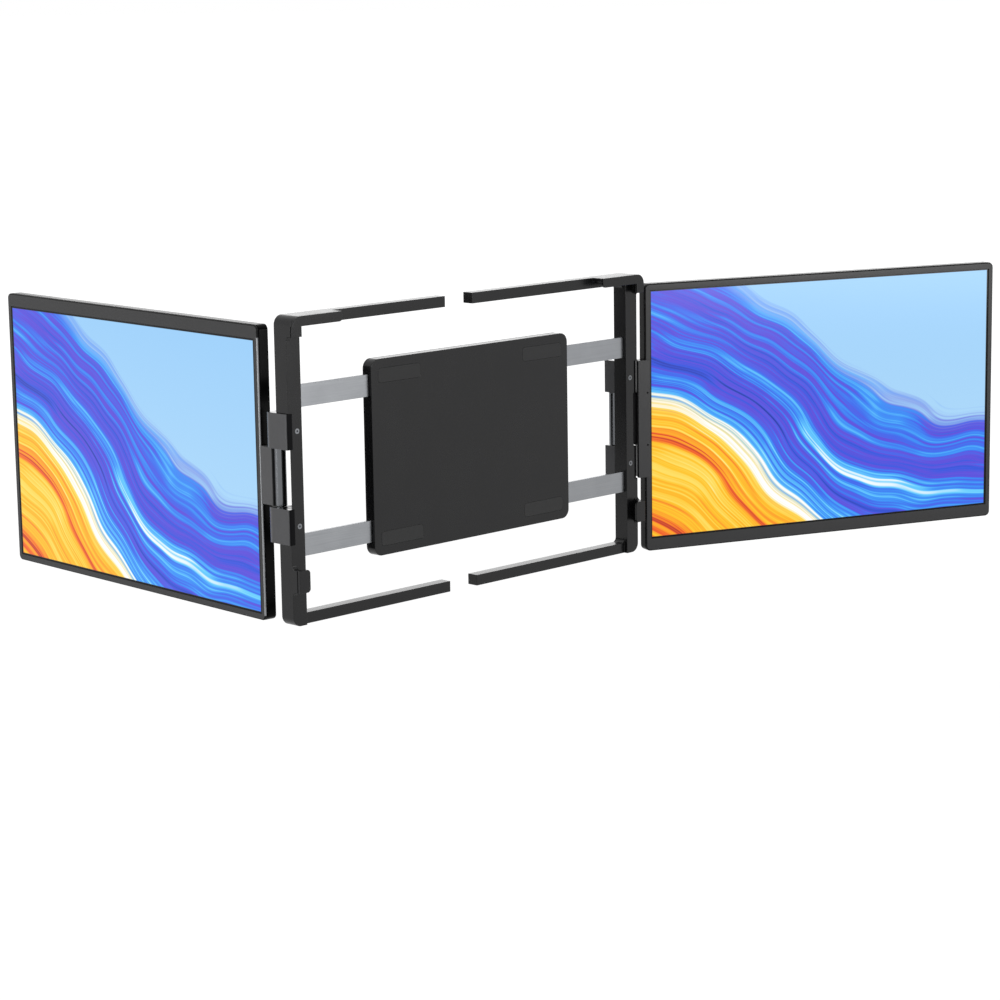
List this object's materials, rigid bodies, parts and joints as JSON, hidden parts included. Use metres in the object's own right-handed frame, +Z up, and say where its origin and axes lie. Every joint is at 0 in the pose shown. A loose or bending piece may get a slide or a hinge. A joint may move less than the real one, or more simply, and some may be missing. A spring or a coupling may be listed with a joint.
{
  "type": "laptop screen extender",
  "caption": "Bracket that hooks over a laptop lid and slides to fit its width, with a folding side screen on a friction hinge at each end.",
  "frame": {"origin": "centre of the centre body's front face, which rests on the back of the laptop lid", "axes": "+Z up, -Y towards the user, +X along the lid to the user's right"},
  "size_m": [0.5822, 0.4117, 0.1917],
  "materials": {
    "satin_bracket": "satin black",
    "black_cover": "matte black",
    "hinge_alloy": "satin dark grey",
    "rubber": "matte",
    "rail_steel": "brushed",
    "screw_steel": "dark zinc",
    "pin_steel": "ground",
    "shell_plastic": "fine texture",
    "bezel_plastic": "satin black",
    "display_glass": "gloss, lit picture",
    "panel_metal": "plain",
    "board": "solder mask",
    "port_steel": "plain",
    "button_plastic": "gloss black"
  },
  "bodies": {
    "centre_body": {"centre_tray": "satin_bracket", "centre_pads": "rubber", "centre_cover": "black_cover", "cover_screws": "screw_steel", "kickstand_pin": "pin_steel"},
    "kickstand": {"kickstand": "hinge_alloy", "kickstand_foot": "rubber"},
    "left_half": {"left_frame": "satin_bracket", "left_frame_cover": "black_cover", "left_top_hook": "satin_bracket", "left_side_hook": "satin_bracket", "left_hook_pads": "rubber", "left_slide_rails": "rail_steel", "left_rail_screws": "screw_steel", "left_hinge_blocks": "hinge_alloy", "left_block_screws": "screw_steel", "left_hinge_pin": "pin_steel"},
    "right_half": {"right_frame": "satin_bracket", "right_frame_cover": "black_cover", "right_top_hook": "satin_bracket", "right_side_hook": "satin_bracket", "right_hook_pads": "rubber", "right_slide_rails": "rail_steel", "right_rail_screws": "screw_steel", "right_hinge_blocks": "hinge_alloy", "right_block_screws": "screw_steel", "right_hinge_pin": "pin_steel"},
    "left_screen": {"left_knuckle": "hinge_alloy", "left_rear_shell": "shell_plastic", "left_bezel": "bezel_plastic", "left_display": "display_glass", "left_panel_module": "panel_metal", "left_driver_board": "board", "left_usb_ports": "port_steel", "left_shell_screws": "screw_steel"},
    "right_screen": {"right_knuckle": "hinge_alloy", "right_rear_shell": "shell_plastic", "right_bezel": "bezel_plastic", "right_display": "display_glass", "right_panel_module": "panel_metal", "right_driver_board": "board", "right_usb_ports": "port_steel", "right_shell_screws": "screw_steel"},
    "left_power": {"left_power_button": "button_plastic"},
    "left_rocker": {"left_menu_rocker": "button_plastic"},
    "right_power": {"right_power_button": "button_plastic"},
    "right_rocker": {"right_menu_rocker": "button_plastic"}
  },
  "joints": [
    {"name": "left_slide", "type": "slide", "parent": "centre_body", "child": "left_half", "axis": [-1, 0, 0], "range_m": [0, 0.038]},
    {"name": "right_slide", "type": "slide", "parent": "centre_body", "child": "right_half", "axis": [1, 0, 0], "range_m": [0, 0.038]},
    {"name": "left_screen_hinge", "type": "hinge", "parent": "left_half", "child": "left_screen", "pos_m": [-0.15055, 0.0155, -0.0042], "axis": [0, 0, 1], "range_deg": [-86.7, 123.3]},
    {"name": "right_screen_hinge", "type": "hinge", "parent": "right_half", "child": "right_screen", "pos_m": [0.15055, 0.0155, -0.0042], "axis": [0, 0, -1], "range_deg": [-201.2, 7.8]},
    {"name": "kickstand_hinge", "type": "hinge", "parent": "centre_body", "child": "kickstand", "pos_m": [0, 0.0095, 0.044], "axis": [1, 0, 0], "range_deg": [0, 70]},
    {"name": "left_power_press", "type": "slide", "parent": "left_screen", "child": "left_power", "axis": [-0.0576, -0.9983, 0], "range_m": [0, 0.0004], "stiffness_N_per_m": 600, "springref_m": -0.0005},
    {"name": "right_power_press", "type": "slide", "parent": "right_screen", "child": "right_power", "axis": [-0.9323, 0.3616, 0], "range_m": [0, 0.0004], "stiffness_N_per_m": 600, "springref_m": -0.0005},
    {"name": "left_rocker_tilt", "type": "hinge", "parent": "left_screen", "child": "left_rocker", "pos_m": [-0.1327, 0.30605, -0.0442], "axis": [0.9983, -0.0576, 0], "range_deg": [-3, 3], "stiffness_Nm_per_rad": 0.05},
    {"name": "right_rocker_tilt", "type": "hinge", "parent": "right_screen", "child": "right_rocker", "pos_m": [0.42198, -0.09825, 0.0358], "axis": [0.3616, 0.9323, 0], "range_deg": [-3, 3], "stiffness_Nm_per_rad": 0.05}
  ]
}
